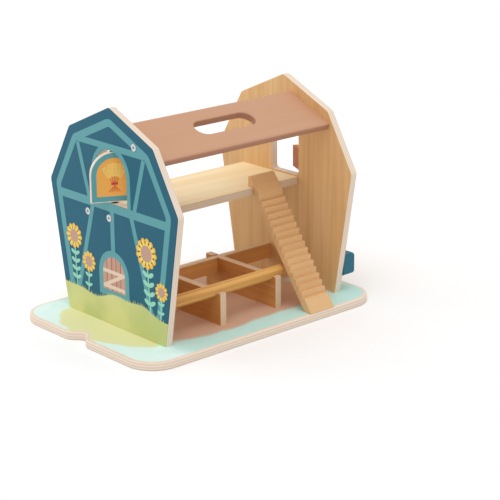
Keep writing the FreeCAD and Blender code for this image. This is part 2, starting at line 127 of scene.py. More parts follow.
def mixColour(tree, factor, first, second):
    sides = {0: factor, 6: first, 7: second}  # the colour sockets of a mix node
    return addNode(tree, "ShaderNodeMix", sides, {"data_type": "RGBA"}).outputs[2]


def newMaterial(name, rough):
    material = bpy.data.materials.new(name)
    material.use_nodes = True
    shader = material.node_tree.nodes["Principled BSDF"]
    shader.inputs["Roughness"].default_value = roughness[rough]
    shader.inputs["Specular IOR Level"].default_value = glint
    return material, material.node_tree, shader


def plainMaterial(name, colour, rough="soft", metallic=0.0):
    material, tree, shader = newMaterial(name, rough)
    shader.inputs["Base Color"].default_value = colours[colour]
    shader.inputs["Metallic"].default_value = metallic
    return material


# grain: how fine it is across and along, in waves a metre, for lines and for broad bands
grain = {
    "line": 150.0, "lineLong": 5.0, "lineLook": {"Roughness": 0.55, "Distortion": 0.5},
    "band": 28.0, "bandLong": 3.0, "bandLook": {}, "detail": 2.0, "share": 0.5, "fade": (0.30, 0.72),
}


# streaks that run along one axis of the row frame, tilted about X where the board is
def grainStreaks(tree, along, tilt=0.0, line=grain["line"]):
    place = addNode(tree, "ShaderNodeTexCoord").outputs["Object"]
    turned = addNode(tree, "ShaderNodeMapping", {"Vector": place, "Rotation": (tilt, 0, 0)}).outputs[0]
    parts = []
    for kind, across in (("line", line), ("band", grain["band"])):
        scale = [across, across, across]
        scale[along] = grain[kind + "Long"]
        spread = addNode(tree, "ShaderNodeMapping", {"Vector": turned, "Scale": scale}).outputs[0]
        look = {"Vector": spread, "Scale": 1.0, "Detail": grain["detail"], **grain[kind + "Look"]}
        noise = addNode(tree, "ShaderNodeTexNoise", look).outputs[0]
        parts.append(calc(tree, "MULTIPLY", noise, grain["share"]))
    return fade(tree, calc(tree, "ADD", *parts), *grain["fade"])


# plywood: grain on the broad faces, glued layers on the edges, and paint on one face if asked
ply = {"thick": 9 * mm, "layerFade": (0.25, 0.75), "faceFade": (0.55, 0.85), "coatFade": (0.35, 0.6)}


def boardMaterial(name, look):
    material, tree, shader = newMaterial(name, "soft")
    coord = addNode(tree, "ShaderNodeTexCoord")
    place = addNode(tree, "ShaderNodeSeparateXYZ", {0: coord.outputs["Object"]}).outputs
    facing = addNode(tree, "ShaderNodeSeparateXYZ", {0: coord.outputs["Normal"]}).outputs
    axis = look["axis"]
    streaks = grainStreaks(tree, look["along"])
    face = mixColour(tree, streaks, look["dark"], look["light"])
    depth = calc(tree, "SUBTRACT", place[axis], look["start"])
    layers = calc(tree, "MULTIPLY", depth, look["layers"] / ply["thick"])
    wave = calc(tree, "PINGPONG", layers, 1.0)
    edge = mixColour(tree, fade(tree, wave, *ply["layerFade"]), look["edgeLine"], look["edge"])
    flat = fade(tree, calc(tree, "ABSOLUTE", facing[axis]), *ply["faceFade"])
    colour = mixColour(tree, flat, edge, face)
    if "paint" in look:
        outer = calc(tree, "MULTIPLY", facing[axis], look["paintSide"])
        foot = calc(tree, "LESS_THAN", place[2], look["footHeight"])
        coat = mixColour(tree, foot, look["paint"], look["footPaint"])
        colour = mixColour(tree, fade(tree, outer, *ply["coatFade"]), colour, coat)
    tree.links.new(colour, shader.inputs["Base Color"])
    return material


def timberMaterial(name, light, dark, along, line=grain["line"]):
    material, tree, shader = newMaterial(name, "satin")
    colour = mixColour(tree, grainStreaks(tree, along, line=line), colours[dark], colours[light])
    tree.links.new(colour, shader.inputs["Base Color"])
    return material


# roof plank: its edges and the walls of its slot are painted darker, as painted shade
roofPlank = {"rise": 32.0, "run": 73.0, "shadeFade": (0.3, 0.9)}  # slope of the gable's front upper edge


def roofMaterial():
    material, tree, shader = newMaterial("roofPaint", "soft")
    tilt = math.atan2(roofPlank["rise"], roofPlank["run"])
    streaks = grainStreaks(tree, 0, -tilt)
    face = mixColour(tree, streaks, colours["terracottaDark"], colours["terracotta"])
    normal = addNode(tree, "ShaderNodeTexCoord").outputs["Normal"]
    square = (0, -math.sin(tilt), math.cos(tilt))
    facing = addNode(tree, "ShaderNodeVectorMath", {0: normal, 1: square}, {"operation": "DOT_PRODUCT"})
    # painted shade: every face that is not broad, the edges and the slot walls, takes the darker colour
    flat = fade(tree, calc(tree, "ABSOLUTE", facing.outputs["Value"]), *roofPlank["shadeFade"])
    colour = mixColour(tree, flat, colours["terracottaShadedEdge"], face)
    tree.links.new(colour, shader.inputs["Base Color"])
    return material


# looks of the boards: axis across the board, axis along the grain, colours, glued layers
gableBoard = {"axis": 0, "along": 2, "light": "pine", "dark": "pineDark", "layers": 7}
gableCoat = {"paint": "darkTeal", "paintSide": -1, "footPaint": "meadow", "footHeight": 36 * mm}
dividerBoard = {"axis": 0, "along": 1, "light": "stallPly", "dark": "stallPlyDark", "layers": 7}
boardLooks = {
    "base_board": {"axis": 2, "along": 0, "light": "plyEdge", "dark": "plyLine", "layers": 5},
    "painted_gable": {**gableBoard, **gableCoat},
    "plain_gable": gableBoard,
    "loft_floor": {"axis": 2, "along": 0, "light": "loftPine", "dark": "loftPineDark", "layers": 7},
    "stall_back_rail": {"axis": 1, "along": 0, "light": "railPly", "dark": "stallPly", "layers": 7},
    "stall_divider_left": dividerBoard,
    "stall_divider_right": dividerBoard,
}
plainEdge = ("plyEdge", "plyLine")
edgeLooks = {"stall": ("stallEdge", "stallEdgeLine"), "loft": ("loftEdge", "loftEdgeLine")}
barLine = 420.0  # finer grain on the round bar


def dress(node, material):
    for place in nodes[node].material_slots:
        place.material = material


for node, board in boardLooks.items():
    look = {key: colours[value] if isinstance(value, str) else value for key, value in board.items()}
    edge, edgeLine = edgeLooks.get(node.split("_")[0], plainEdge)
    look.update(start=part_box(node)[0][look["axis"]], edge=colours[edge], edgeLine=colours[edgeLine])
    dress(node, boardMaterial(node + "Ply", look))

dress("roof_plank", roofMaterial())
dress("manger_bar", timberMaterial("mangerWood", "honey", "honeyDark", 0, barLine))
dress("ramp", timberMaterial("rampStain", "tan", "tanDark", 0))
dress("half_door", timberMaterial("halfDoorPaint", "doorBrown", "doorBrownDark", 2))
dress("window_panel", timberMaterial("panelPly", "plyEdge", "plyLine", 2))
dress("side_block", plainMaterial("blockPaint", "blockTeal", "satin"))
steel = plainMaterial("zincSteel", "steel", "zinc", 1.0)
darkSteel = plainMaterial("pivotSteel", "darkSteel", "oiled", 1.0)
beech = timberMaterial("dowelBeech", "beech", "tan", 0)
for node in nodes:
    if node.endswith(("bolts", "screws", "leaves", "nuts")):
        dress(node, steel)
    elif node.endswith("dowels"):
        dress(node, beech)
    elif node.endswith("pins"):
        dress(node, darkSteel)
dress("window_pivot_washers", plainMaterial("washerNylon", "nylon", "satin"))
print("boards dressed:", len(nodes))


# flat outlines, in millimetres on the face that carries them: corners are (x, y, radius)
def roundedLoop(corners, steps=9):
    loop = []
    count = len(corners)
    for i, (x, y, radius) in enumerate(corners):
        point = Vector((x, y))
        if radius <= 0:
            loop.append(tuple(point))
            continue
        back = (Vector(corners[i - 1][:2]) - point).normalized()
        ahead = (Vector(corners[(i + 1) % count][:2]) - point).normalized()
        half = back.angle(ahead) / 2
        middle = point + (back + ahead).normalized() * (radius / math.sin(half))
        start = point + back * (radius / math.tan(half)) - middle
        swing = -start.angle_signed(point + ahead * (radius / math.tan(half)) - middle)
        for step in range(steps + 1):
            turn = Matrix.Rotation(swing * step / steps, 2)
            loop.append(tuple(middle + turn @ start))
    return loop


# the same corners moved inwards, for an outline that runs counter-clockwise
def insetCorners(corners, inset):
    moved = []
    count = len(corners)
    for i, (x, y, radius) in enumerate(corners):
        point = Vector((x, y))
        into = (point - Vector(corners[i - 1][:2])).normalized()
        out = (Vector(corners[(i + 1) % count][:2]) - point).normalized()
        bend = into.cross(out)
        first = Vector((-into.y, into.x))
        second = Vector((-out.y, out.x))
        shift = (first + second) * (inset / (1 + first.dot(second)))
        kept = radius - inset if bend > 0 else radius + inset
        moved.append((*(point + shift), max(kept, 0) if radius > 0 else 0))
    return moved


def softened(corners, radius):
    return [(*corner[:2], radius) for corner in corners]


def archLoop(half, bottom, top, steps=32):
    spring = top - half
    turns = [math.pi * step / steps for step in range(steps + 1)]
    foot = [(-half, bottom), (half, bottom)]
    return foot + [(half * math.cos(a), spring + half * math.sin(a)) for a in turns]


def bandLoop(start, end, width):
    start, end = Vector(start), Vector(end)
    side = (end - start).normalized().orthogonal() * (width / 2)
    return [tuple(p) for p in (start - side, end - side, end + side, start + side)]


def discLoop(centre, across, steps=28):
    turns = [2 * math.pi * step / steps for step in range(steps)]
    radius = across / 2
    return [(centre[0] + radius * math.cos(a), centre[1] + radius * math.sin(a)) for a in turns]


def bakedMesh(thing):
    return bpy.data.meshes.new_from_object(thing.evaluated_get(bpy.context.evaluated_depsgraph_get()))


weldGap = 1e-4  # points closer than this become one, in millimetres
punch = {"sides": 32, "depth": 4.0}


# a thin closed sheet from outlines, holes included, between two heights over its face
def printedSheet(name, loops, low, high, place, rounds=None):
    curve = bpy.data.curves.new(name, "CURVE")
    curve.dimensions = "2D"
    curve.fill_mode = "BOTH"
    curve.extrude = (high - low) / 2
    for loop in loops:
        spline = curve.splines.new("POLY")
        spline.points.add(len(loop) - 1)
        for point, (x, y) in zip(spline.points, loop):
            point.co = (x, y, 0, 1)
        spline.use_cyclic_u = True
    drawn = bpy.data.objects.new(name + "Outline", curve)
    scene.collection.objects.link(drawn)
    mesh = bakedMesh(drawn)
    bpy.data.objects.remove(drawn)
    bpy.data.curves.remove(curve)
    work = bmesh.new()
    work.from_mesh(mesh)
    bmesh.ops.remove_doubles(work, verts=work.verts, dist=weldGap)
    bmesh.ops.recalc_face_normals(work, faces=work.faces)
    bmesh.ops.translate(work, verts=work.verts, vec=(0, 0, (low + high) / 2))
    work.to_mesh(mesh)
    work.free()
    if rounds:
        mesh = cutRounds(mesh, *rounds)
    mesh.transform(place)
    return mesh


# round holes through a sheet that still lies flat, in millimetres
def cutRounds(mesh, places, across):
    sheet = bpy.data.objects.new("sheetToCut", mesh)
    scene.collection.objects.link(sheet)
    work = bmesh.new()
    size = {"radius1": across / 2, "radius2": across / 2, "depth": punch["depth"]}
    for u, v in places:
        middle = Matrix.Translation((u, v, 0))
        bmesh.ops.create_cone(work, cap_ends=True, segments=punch["sides"], matrix=middle, **size)
    toolMesh = bpy.data.meshes.new("punch")
    work.to_mesh(toolMesh)
    work.free()
    tool = bpy.data.objects.new("punch", toolMesh)
    scene.collection.objects.link(tool)
    cut = sheet.modifiers.new("cut", "BOOLEAN")
    cut.object = tool
    cut.operation = "DIFFERENCE"
    cut.solver = "EXACT"
    result = bakedMesh(sheet)
    sheet.modifiers.remove(cut)
    bpy.data.objects.remove(sheet)
    bpy.data.objects.remove(tool)
    return result


def addPiece(name, mesh, material, body):
    mesh.name = name
    if not mesh.materials:
        mesh.materials.append(material)
    piece = bpy.data.objects.new(name, mesh)
    scene.collection.objects.link(piece)
    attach(piece, body)
    return piece


# node trees: named inputs, run once on a helper object, kept as a plain mesh
def newTree(name, floats, others):
    tree = bpy.data.node_groups.new(name, "GeometryNodeTree")
    tree.interface.new_socket("Geometry", in_out="INPUT", socket_type="NodeSocketGeometry")
    sockets = {**{label: "Float" for label in floats}, **others}
    for label, kind in sockets.items():
        tree.interface.new_socket(label, in_out="INPUT", socket_type="NodeSocket" + kind)
    tree.interface.new_socket("Geometry", in_out="OUTPUT", socket_type="NodeSocketGeometry")
    return tree, addNode(tree, "NodeGroupInput").outputs


def endTree(tree, geometry, material):
    real = addNode(tree, "GeometryNodeRealizeInstances", {"Geometry": geometry}).outputs[0]
    painted = addNode(tree, "GeometryNodeSetMaterial", {"Geometry": real, "Material": material}).outputs[0]
    addNode(tree, "NodeGroupOutput", {0: painted})


def runTree(name, tree, values, place, startMesh=None):
    maker = bpy.data.objects.new(name + "Maker", startMesh or bpy.data.meshes.new(name + "Start"))
    scene.collection.objects.link(maker)
    modifier = maker.modifiers.new("grow", "NODES")
    modifier.node_group = tree
    for socket in tree.interface.items_tree:
        if socket.in_out == "INPUT" and socket.name in values:
            modifier[socket.identifier] = values[socket.name]
    mesh = bakedMesh(maker)
    maker.modifiers.remove(modifier)
    bpy.data.objects.remove(maker)
    mesh.transform(place)
    return mesh


def vector(tree, parts):
    return addNode(tree, "ShaderNodeCombineXYZ", parts).outputs[0]


def placed(tree, points, instance, **turns):  # copies on points, with Rotation and Scale if given
    inputs = {"Points": points, "Instance": instance, **turns}
    return addNode(tree, "GeometryNodeInstanceOnPoints", inputs).outputs[0]


# a flat oval plate whose near end is at the origin, along X, from a disc of unit size
def ovalPlate(tree, length, width, thick, sides):
    unit = {"Vertices": sides, "Radius": 0.5, "Depth": 1.0}
    disc = addNode(tree, "GeometryNodeMeshCylinder", unit).outputs["Mesh"]
    size = vector(tree, {0: length, 1: width, 2: thick})
    shift = vector(tree, {0: calc(tree, "MULTIPLY", length, 0.5), 2: calc(tree, "MULTIPLY", thick, 0.5)})
    moves = {"Geometry": disc, "Translation": shift, "Scale": size}
    return addNode(tree, "GeometryNodeTransform", moves).outputs[0]


ovalSides = {"petal": 14, "leaf": 12}
bladeForm = {"Vertices": 6, "Radius Top": 0.04, "Radius Bottom": 0.5, "Depth": 1.0}


def makePetalTree():
    floats = ("heartRadius", "petalLength", "petalWidth", "petalThick")
    tree, given = newTree("blossomPetals", floats, {"petalCount": "Int", "petalPaint": "Material"})
    circle = {"Vertices": given["petalCount"], "Radius": given["heartRadius"]}
    points = addNode(tree, "GeometryNodeMeshCircle", circle).outputs[0]
    position = addNode(tree, "GeometryNodeInputPosition").outputs[0]
    outward = addNode(tree, "FunctionNodeAlignRotationToVector", {"Vector": position}, {"axis": "X"})
    size = [given[label] for label in ("petalLength", "petalWidth", "petalThick")]
    petal = ovalPlate(tree, *size, ovalSides["petal"])
    endTree(tree, placed(tree, points, petal, Rotation=outward.outputs[0]), given["petalPaint"])
    return tree


def makeLeafTree():
    floats = ("leafLength", "leafWidth", "leafThick", "leafRise")
    others = {"stemFoot": "Vector", "stemTop": "Vector", "pairCount": "Int", "leafPaint": "Material"}
    tree, given = newTree("pairedLeaves", floats, others)
    ends = {0: given["pairCount"], 2: given["stemFoot"], 3: given["stemTop"]}
    points = addNode(tree, "GeometryNodeMeshLine", ends, {"mode": "END_POINTS"}).outputs[0]
    size = [given[label] for label in ("leafLength", "leafWidth", "leafThick")]
    leaf = ovalPlate(tree, *size, ovalSides["leaf"])
    joined = addNode(tree, "GeometryNodeJoinGeometry")
    rise = given["leafRise"]
    for angle in (rise, calc(tree, "SUBTRACT", math.pi, rise)):
        side = placed(tree, points, leaf, Rotation=vector(tree, {2: angle}))
        tree.links.new(side, joined.inputs[0])
    endTree(tree, joined.outputs[0], given["leafPaint"])
    return tree


def randomFloat(tree, low, high, seed):
    inputs = {2: low, 3: high, "Seed": seed}  # the float sockets
    return addNode(tree, "FunctionNodeRandomValue", inputs, {"data_type": "FLOAT"}).outputs[1]


def makeGrassTree():
    floats = ("bladeShort", "bladeTall", "bladeWidth", "bladeThick", "bladeLean")
    others = {"bladeCount": "Int", "bladeSeed": "Int", "bladePaint": "Material"}
    tree, given = newTree("grassBlades", floats, others)
    path = addNode(tree, "GeometryNodeMeshToCurve", {0: given["Geometry"]}).outputs[0]
    spacing = {"Curve": path, "Count": given["bladeCount"]}
    points = addNode(tree, "GeometryNodeCurveToPoints", spacing, {"mode": "COUNT"}).outputs[0]
    cone = addNode(tree, "GeometryNodeMeshCone", bladeForm).outputs["Mesh"]
    lying = {"Geometry": cone, "Rotation": (-math.pi / 2, 0, 0)}
    upright = addNode(tree, "GeometryNodeTransform", lying).outputs[0]
    size = vector(tree, {0: given["bladeWidth"], 1: 1.0, 2: given["bladeThick"]})
    blade = addNode(tree, "GeometryNodeTransform", {"Geometry": upright, "Scale": size}).outputs[0]
    tall = randomFloat(tree, given["bladeShort"], given["bladeTall"], given["bladeSeed"])
    back = calc(tree, "MULTIPLY", given["bladeLean"], -1.0)
    lean = randomFloat(tree, back, given["bladeLean"], calc(tree, "ADD", given["bladeSeed"], 1.0))
    turn, grow = vector(tree, {2: lean}), vector(tree, {0: 1.0, 1: tall, 2: 1.0})
    endTree(tree, placed(tree, points, blade, Rotation=turn, Scale=grow), given["bladePaint"])
    return tree


petalTree = makePetalTree()
leafTree = makeLeafTree()
grassTree = makeGrassTree()
print("node trees built")

# painted gable: timber framing, u to the right and v up from the foot, seen from outside
gableLow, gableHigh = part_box("painted_gable")
gableMiddle = (gableLow.y + gableHigh.y) / 2
gableFace = Matrix((
    (0, 0, -mm, gableLow.x),
    (-mm, 0, 0, gableMiddle),
    (0, mm, 0, gableLow.z),
    (0, 0, 0, 1),
))
framing = {
    "corners": [(87, 0), (112, 147), (73, 213)], "peak": (0, 245),
    "margin": 10.5, "border": 8.2, "outerRound": 14.0, "innerRound": 8.0,
    "tie": (202, 57.5, 7.0), "eave": (134.8, 93.0, 9.5),
    "upperBrace": ((57.5, 198.0), (39.3, 138.0), 6.0), "lowerBrace": ((33.5, 133.0), (67.0, 22.0), 6.5),
    "post": ((0, 132.0), (0, 82.0), 7.0),
    "window": (27.5, 140.0, 198.5), "windowRing": 6.0, "windowGap": 0.2,
    "arch": (26.5, 33.0, 86.0), "archRing": 7.0,
    "bolts": [(42, 209.1), (-5, 122.5), (-43, 122.5)], "boltHole": 8.2,
    "sunk": -0.02, "proud": 0.06, "layer": 0.01,
}


def onGable(name, loops, high, material, rounds=None):
    mesh = printedSheet(name, loops, framing["sunk"], high, gableFace, rounds)
    return addPiece(name, mesh, material, "barn")


def growOnGable(name, tree, values, material, place=gableFace, startMesh=None):
    mesh = runTree(name, tree, values, place, startMesh)
    return addPiece(name, mesh, material, "barn")


def archInside(arch, inset):  # the same arch, smaller all round
    half, bottom, top = arch
    return archLoop(half - inset, bottom + inset, top - inset)


def crossBand(height, reach, width):
    return bandLoop((-reach, height), (reach, height), width)


framePaint = plainMaterial("framePrint", "lightTeal", "satin")
boltHoles = (framing["bolts"], framing["boltHole"])
mirrored = [(-u, v) for u, v in reversed(framing["corners"])]
gableCorners = softened(framing["corners"] + [framing["peak"]] + mirrored, 0)
bandOuter = softened(insetCorners(gableCorners, framing["margin"]), framing["outerRound"])
bandInner = insetCorners(gableCorners, framing["margin"] + framing["border"])
bandInner = softened(bandInner, framing["innerRound"])
window, arch = framing["window"], framing["arch"]
ringOut, ringIn = framing["windowRing"], framing["windowGap"]
framePieces = {
    "frameBorder": [roundedLoop(bandOuter), roundedLoop(bandInner)],
    "frameTie": [crossBand(*framing["tie"])],
    "frameEave": [crossBand(*framing["eave"])],
    "framePost": [bandLoop(*framing["post"])],
    "frameWindowRing": [archInside(window, -ringOut), archInside(window, -ringIn)],
    "frameArchRing": [archInside(arch, 0), archInside(arch, framing["archRing"])],
}
for side, label in ((-1, "Left"), (1, "Right")):
    for brace, name in (("upperBrace", "frameUpperBrace"), ("lowerBrace", "frameLowerBrace")):
        (u0, v0), (u1, v1), width = framing[brace]
        framePieces[name + label] = [bandLoop((side * u0, v0), (side * u1, v1), width)]
for count, (name, loops) in enumerate(framePieces.items()):
    onGable(name, loops, framing["proud"] + framing["layer"] * count, framePaint, boltHoles)
print("framing printed:", len(framePieces))

# plank door in the lower arch, tucked under the arch's ring
stableDoor = {
    "tuck": 0.4, "planks": 5, "gap": 0.9, "gapEnd": 0.6, "brace": 4.2, "braceIn": 2.0,
    "rail": 4.6, "railRise": 2.0, "railIn": 0.8, "plank": 0.05, "gapOver": 0.01, "over": 0.075,
}
archHalf, archFoot, archTop = arch
doorHalf = archHalf - framing["archRing"] + stableDoor["tuck"]
doorFoot = archFoot + framing["archRing"] - stableDoor["tuck"]
doorTop = archTop - framing["archRing"] + stableDoor["tuck"]
doorPaint = timberMaterial("doorPlanks", "plankBrown", "stallFloor", 2)
onGable("stableDoor", [archLoop(doorHalf, doorFoot, doorTop)], stableDoor["plank"], doorPaint)
gapPaint = plainMaterial("plankGaps", "plankGap", "chalky")
spring = doorTop - doorHalf
for count in range(1, stableDoor["planks"]):
    u = -doorHalf + 2 * doorHalf * count / stableDoor["planks"]
    top = spring + math.sqrt(doorHalf ** 2 - u ** 2) - stableDoor["gapEnd"]
    gap = bandLoop((u, doorFoot + stableDoor["gapEnd"]), (u, top), stableDoor["gap"])
    onGable(f"plankGap{count}", [gap], stableDoor["plank"] + stableDoor["gapOver"], gapPaint)
bracePaint = plainMaterial("doorBrace", "plankBrace")
reach = doorHalf - stableDoor["railIn"]
braceReach = reach - stableDoor["braceIn"]
lowRail = doorFoot + stableDoor["rail"]
highRail = spring + stableDoor["railRise"]
rails = {
    "doorRailLow": ((-reach, lowRail), (reach, lowRail)),
    "doorRailHigh": ((-reach, highRail), (reach, highRail)),
    "doorBrace": ((-braceReach, lowRail), (braceReach, highRail)),
}
for count, (name, (start, end)) in enumerate(rails.items()):
    level = stableDoor["over"] + framing["layer"] * count
    onGable(name, [bandLoop(start, end, stableDoor["brace"])], level, bracePaint)
print("stable door printed")

# meadow along the foot, with blades of grass on its crest; a wave is its height, length and start
meadow = {
    "height": 32.0, "swell": (4.2, 23.0, 0.5), "ripple": (1.8, 9.0, 2.0), "inset": 0.4, "sideInset": 1.2,
    "proud": 0.17, "points": 72, "patches": {"Scale": 22.0, "Detail": 2.0}, "patchFade": (0.35, 0.7),
    "bladeSink": 0.6, "bladeRise": 0.11, "bladeSkip": 3,
}
blades = {
    "bladeCount": 64, "bladeShort": 2.2, "bladeTall": 5.0, "bladeWidth": 1.5, "bladeThick": 0.16,
    "bladeLean": 0.45, "bladeSeed": 7,
}


def wave(u, height, length, start):
    return height * math.sin(u / length + start)


def crest(u):
    return meadow["height"] + wave(u, *meadow["swell"]) + wave(u, *meadow["ripple"])


def gableSide(v):  # half width of the gable at height v, below the eaves
    (footU, _), (eaveU, eaveV) = framing["corners"][:2]
    return footU + (eaveU - footU) * v / eaveV


def meadowPaint(name, first, second):
    material, tree, shader = newMaterial(name, "chalky")
    place = addNode(tree, "ShaderNodeTexCoord").outputs["Object"]
    noise = addNode(tree, "ShaderNodeTexNoise", {"Vector": place, **meadow["patches"]}).outputs[0]
    patches = fade(tree, noise, *meadow["patchFade"])
    tree.links.new(mixColour(tree, patches, colours[first], colours[second]), shader.inputs["Base Color"])
    return material


crestReach = gableSide(crest(0)) - meadow["sideInset"]
footReach = gableSide(0) - meadow["sideInset"]
crestPlaces = [crestReach * (2 * i / meadow["points"] - 1) for i in range(meadow["points"] + 1)]
crestLine = [(u, crest(u)) for u in crestPlaces]
meadowFoot = [(-footReach, meadow["inset"]), (footReach, meadow["inset"])]
meadowLook = meadowPaint("meadowPrint", "meadow", "meadowPale")
onGable("meadowBand", [meadowFoot + crestLine[::-1]], meadow["proud"], meadowLook)
bladeLevel = framing["sunk"] + meadow["bladeRise"]
rooted = crestLine[meadow["bladeSkip"]:-meadow["bladeSkip"]]
rootPoints = [(u, v - meadow["bladeSink"], bladeLevel) for u, v in rooted]
rootLine = bpy.data.meshes.new("crestLine")
rootLine.from_pydata(rootPoints, [(i, i + 1) for i in range(len(rooted) - 1)], [])
grassPaint = meadowPaint("grassPrint", "meadowPale", "meadow")
blades["bladePaint"] = grassPaint
growOnGable("meadowGrass", grassTree, blades, grassPaint, startMesh=rootLine)
print("meadow printed")

# blossoms: middle, size over the petals, and where the stem comes out of the meadow
blossoms = [
    {"name": "blossomTall", "at": (58, 97), "across": 35, "foot": (63, 30), "pairs": 4, "petals": 13},
    {"name": "blossomLow", "at": (82, 60), "across": 21, "foot": (80, 30), "pairs": 2, "petals": 11},
    {"name": "blossomLeft", "at": (-71, 88), "across": 29, "foot": (-68, 30), "pairs": 4, "petals": 12},
    {"name": "blossomShort", "at": (-45, 64), "across": 24, "foot": (-47, 30), "pairs": 2, "petals": 11},
]
# what all blossoms share: shares of their size over the petals, then widths and heights in millimetres
blossomForm = {
    "heart": 0.26, "petalWidth": 0.22, "paleLength": 0.24, "paleWidth": 0.13,
    "leafLength": 0.3, "leafWidth": 0.15, "bareTop": 0.72,
    "ringShare": 0.7, "bareFoot": 0.16, "leafRise": 0.5,
    "stem": 1.8, "stemLevel": 0.19, "heartLevel": 0.26, "growLevel": 0.02,
    "leafThick": 0.15, "petalThick": 0.2, "paleThick": 0.23,
}
leafPaint = plainMaterial("leafPrint", "leafMint")
petalPaint = plainMaterial("petalPrint", "petal")
palePaint = plainMaterial("petalPalePrint", "petalPale")
heartPaint = plainMaterial("blossomHeartPrint", "blossomHeart", "chalky")


def addBlossom(flower):
    form, name, across = blossomForm, flower["name"], flower["across"]
    middle, foot = Vector(flower["at"]), Vector(flower["foot"])
    onGable(name + "Stem", [bandLoop(foot, middle, form["stem"])], form["stemLevel"], leafPaint)
    lowest = foot.lerp(middle, form["bareFoot"])
    highest = foot.lerp(middle, 1 - form["bareTop"] * across / (middle.y - foot.y))
    leaves = {
        "stemFoot": (*lowest, form["growLevel"]), "stemTop": (*highest, form["growLevel"]),
        "pairCount": flower["pairs"], "leafLength": across * form["leafLength"],
        "leafWidth": across * form["leafWidth"], "leafThick": form["leafThick"],
        "leafRise": form["leafRise"], "leafPaint": leafPaint,
    }
    growOnGable(name + "Leaves", leafTree, leaves, leafPaint)
    heart = across * form["heart"]
    ring = heart * form["ringShare"]
    petals = {
        "petalCount": flower["petals"], "heartRadius": ring, "petalLength": across / 2 - ring,
        "petalWidth": across * form["petalWidth"], "petalThick": form["petalThick"], "petalPaint": petalPaint,
    }
    place = gableFace @ Matrix.Translation((*middle, form["growLevel"]))
    growOnGable(name + "Petals", petalTree, petals, petalPaint, place)
    pale = {
        **petals, "petalLength": across * form["paleLength"], "petalWidth": across * form["paleWidth"],
        "petalThick": form["paleThick"], "petalPaint": palePaint,
    }
    growOnGable(name + "PalePetals", petalTree, pale, palePaint, place)
    onGable(name + "Heart", [discLoop(middle, 2 * heart)], form["heartLevel"], heartPaint)


for flower in blossoms:
    addBlossom(flower)
print("blossoms printed:", len(blossoms))

# base print: mint field inside a bare rim, paler towards the left end (partly print, partly painted light
# from the left), meadow round the painted gable, brown stall floor
basePrint = {
    "corners": [(-170, -119, 35), (170, -119, 35), (170, 119, 35), (-170, 119, 35)],
    "bay": [(-170, 24, 8), (-156, 7, 8), (-170, -10, 8)],
    "rim": 4.5, "cornerSteps": 14, "sunk": -0.02, "proud": 0.08,
    "noise": {"Scale": 26.0, "Detail": 3.0}, "noiseMiddle": 0.5,
    "paleLitFade": (-0.085, -0.150), "paleRough": 0.12, "meadowFade": (1.1, 0.92), "floorFade": (1.3, 0.75),
}
# patches of the base print, in metres: how square they are, and how ragged
basePatches = {
    "meadow": {"middle": (-0.121, 0.005), "reach": (0.045, 0.077), "square": 2.0, "ragged": 0.9},
    "floor": {"middle": (0.006, -0.0235), "reach": (0.122, 0.0645), "square": 4.0, "ragged": 1.2},
    "floorCorner": {"middle": (0.085, 0.030), "reach": (0.068, 0.060), "square": 2.0, "ragged": 1.6},
}
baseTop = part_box("base_board")[1].z
baseFace = Matrix.Translation((0, 0, baseTop)) @ Matrix.Scale(mm, 4)


def patchSpan(tree, at, wander, patch):  # under 1 inside the patch
    parts = []
    for axis in (0, 1):
        off = calc(tree, "SUBTRACT", at[axis], patch["middle"][axis])
        share = calc(tree, "ABSOLUTE", calc(tree, "DIVIDE", off, patch["reach"][axis]))
        parts.append(calc(tree, "POWER", share, patch["square"]))
    return calc(tree, "ADD", calc(tree, "ADD", *parts), calc(tree, "MULTIPLY", wander, patch["ragged"]))


def basePaint():
    material, tree, shader = newMaterial("basePrintPaint", "chalky")
    place = addNode(tree, "ShaderNodeTexCoord").outputs["Object"]
    at = addNode(tree, "ShaderNodeSeparateXYZ", {0: place}).outputs
    noise = addNode(tree, "ShaderNodeTexNoise", {"Vector": place, **basePrint["noise"]}).outputs[0]
    wander = calc(tree, "SUBTRACT", noise, basePrint["noiseMiddle"])
    spans = {name: patchSpan(tree, at, wander, patch) for name, patch in basePatches.items()}
    meadowMask = fade(tree, spans["meadow"], *basePrint["meadowFade"])
    floorSpan = calc(tree, "MINIMUM", spans["floor"], spans["floorCorner"])
    indoors = calc(tree, "LESS_THAN", at[0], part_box("plain_gable")[0].x)
    floorMask = calc(tree, "MULTIPLY", fade(tree, floorSpan, *basePrint["floorFade"]), indoors)
    # the mint grows paler towards the left end: partly a paler zone of the print, partly painted light
    # falling from the left
    along = calc(tree, "ADD", at[0], calc(tree, "MULTIPLY", wander, basePrint["paleRough"]))
    field = mixColour(tree, fade(tree, along, *basePrint["paleLitFade"]), colours["mint"], colours["mintPaleAndLit"])
    colour = mixColour(tree, meadowMask, field, colours["meadowBase"])
    colour = mixColour(tree, floorMask, colour, colours["stallFloor"])
    tree.links.new(colour, shader.inputs["Base Color"])
    return material


rimCorners = insetCorners(basePrint["corners"] + basePrint["bay"], basePrint["rim"])
rimLoop = roundedLoop(rimCorners, basePrint["cornerSteps"])
baseMesh = printedSheet("basePrint", [rimLoop], basePrint["sunk"], basePrint["proud"], baseFace)
addPiece("basePrint", baseMesh, basePaint(), "barn")
print("base printed")

# revolving panel: the same print on both faces, v up from the panel's foot
panelPrint = {
    "half": 26.0, "top": 55.5, "thick": 6.0, "turn": 62.0, "inset": 1.2, "border": 5.5, "tuck": 0.3,
    "sunk": -0.02, "ground": 0.05, "ring": 0.08, "over": 0.11,
}
